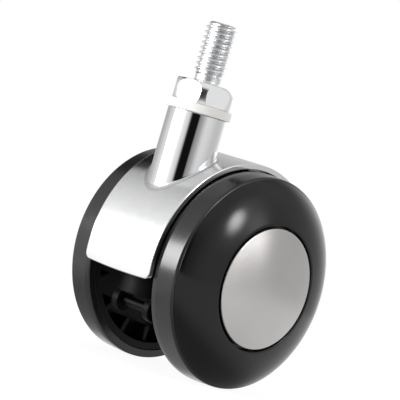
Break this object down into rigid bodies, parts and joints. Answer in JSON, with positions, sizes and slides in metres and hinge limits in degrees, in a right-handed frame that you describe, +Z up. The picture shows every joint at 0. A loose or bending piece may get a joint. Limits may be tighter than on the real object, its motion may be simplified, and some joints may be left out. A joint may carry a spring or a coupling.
{
  "type": "hooded twin-wheel chair caster",
  "caption": "Hooded twin-wheel swivel caster for chairs: chromed hood and neck over black wheels with domed covers and metal hub caps, on a threaded stem with a hexagon collar.",
  "frame": {"origin": "on the floor straight under the middle of the axle, the bottom centre of the bounding box", "axes": "+Z up along the stem and swivel axis, Y along the wheel axle, -X towards the hood's front edge and the stem"},
  "size_m": [0.0692, 0.0586, 0.1037],
  "materials": {
    "zinc_plate": "bright zinc plating on turned steel",
    "white_nylon": "natural white nylon, satin",
    "spring_steel": "plain spring steel, lightly oiled",
    "hood_chrome": "polished neck, satin brushed arch",
    "core_nylon": "black moulded nylon",
    "liner_acetal": "off-white acetal",
    "disc_steel": "ground steel",
    "pin_black": "blackened steel",
    "axle_steel": "ground steel",
    "screw_zinc": "zinc plated, cross recess",
    "spacer_nylon": "natural nylon",
    "nut_steel": "spring steel",
    "tread_black": "smooth satin black tread",
    "wheel_nylon": "black moulded nylon",
    "cover_gloss": "high gloss black",
    "cap_nickel": "satin brushed nickel",
    "bush_bronze": "sintered bronze"
  },
  "bodies": {
    "stem": {"threaded_stem": "zinc_plate", "neck_washer": "white_nylon", "snap_ring": "spring_steel"},
    "swivel": {"hood_casting": "hood_chrome", "core_body": "core_nylon", "socket_liner": "liner_acetal", "thrust_disc": "disc_steel", "cross_pin": "pin_black", "axle_pin": "axle_steel", "hood_screw_near": "screw_zinc", "hood_screw_far": "screw_zinc", "hub_spacer_near": "spacer_nylon", "hub_spacer_far": "spacer_nylon", "push_nut_near": "nut_steel", "push_nut_far": "nut_steel"},
    "wheel_near": {"wheel_near_tread": "tread_black", "wheel_near_core": "wheel_nylon", "wheel_near_cover": "cover_gloss", "wheel_near_hub_cap": "cap_nickel", "wheel_near_bush": "bush_bronze"},
    "wheel_far": {"wheel_far_tread": "tread_black", "wheel_far_core": "wheel_nylon", "wheel_far_cover": "cover_gloss", "wheel_far_hub_cap": "cap_nickel", "wheel_far_bush": "bush_bronze"}
  },
  "joints": [
    {"name": "stem_swivel", "type": "hinge", "parent": "stem", "child": "swivel", "pos_m": [-0.01943, 0, 0.0764], "axis": [0, 0, 1], "continuous": true},
    {"name": "wheel_near_spin", "type": "hinge", "parent": "swivel", "child": "wheel_near", "pos_m": [0, 0, 0.0325], "axis": [0, 1, 0], "continuous": true},
    {"name": "wheel_far_spin", "type": "hinge", "parent": "swivel", "child": "wheel_far", "pos_m": [0, 0, 0.0325], "axis": [0, 1, 0], "continuous": true}
  ]
}
